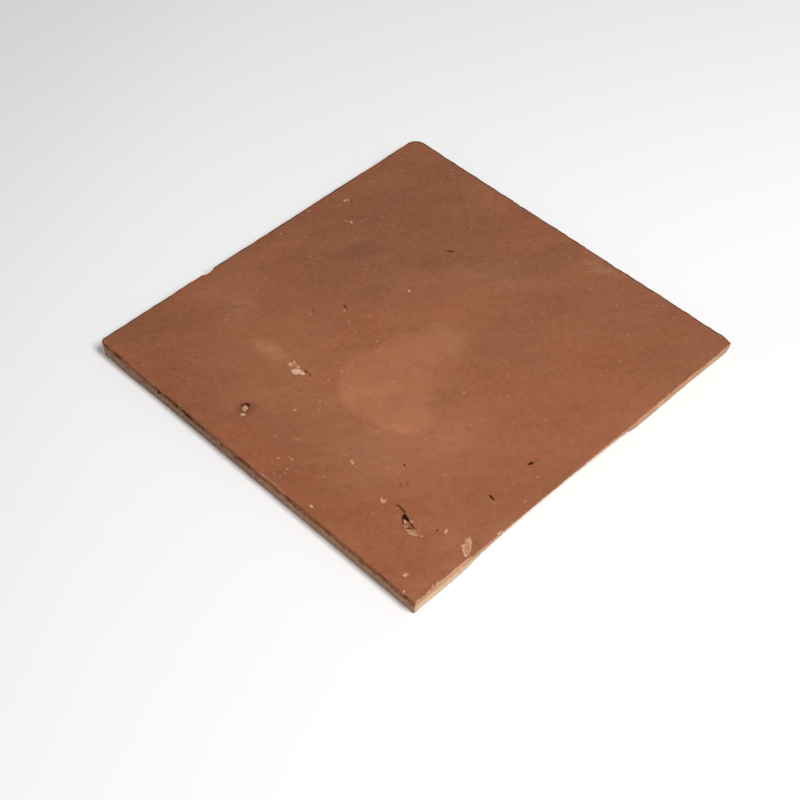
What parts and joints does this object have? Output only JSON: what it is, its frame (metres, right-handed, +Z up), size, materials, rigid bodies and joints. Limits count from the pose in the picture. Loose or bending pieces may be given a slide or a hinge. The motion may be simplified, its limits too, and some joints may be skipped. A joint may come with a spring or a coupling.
{
  "type": "terracotta floor tile",
  "caption": "Square hand-made terracotta floor tile, unglazed, with softly waved undercut sides, worn corners, a spalled foot and pits in its wear face.",
  "frame": {"origin": "middle of the bedding face, on the floor's level", "axes": "+Z up out of the wear face; X and Y along the sides, with the spalled side at -Y"},
  "size_m": [0.2999, 0.2997, 0.013],
  "materials": {
    "terracotta": "unglazed fired clay, matt, worn and stained"
  },
  "bodies": {
    "root": {"floor_tile": "terracotta"}
  },
  "joints": []
}
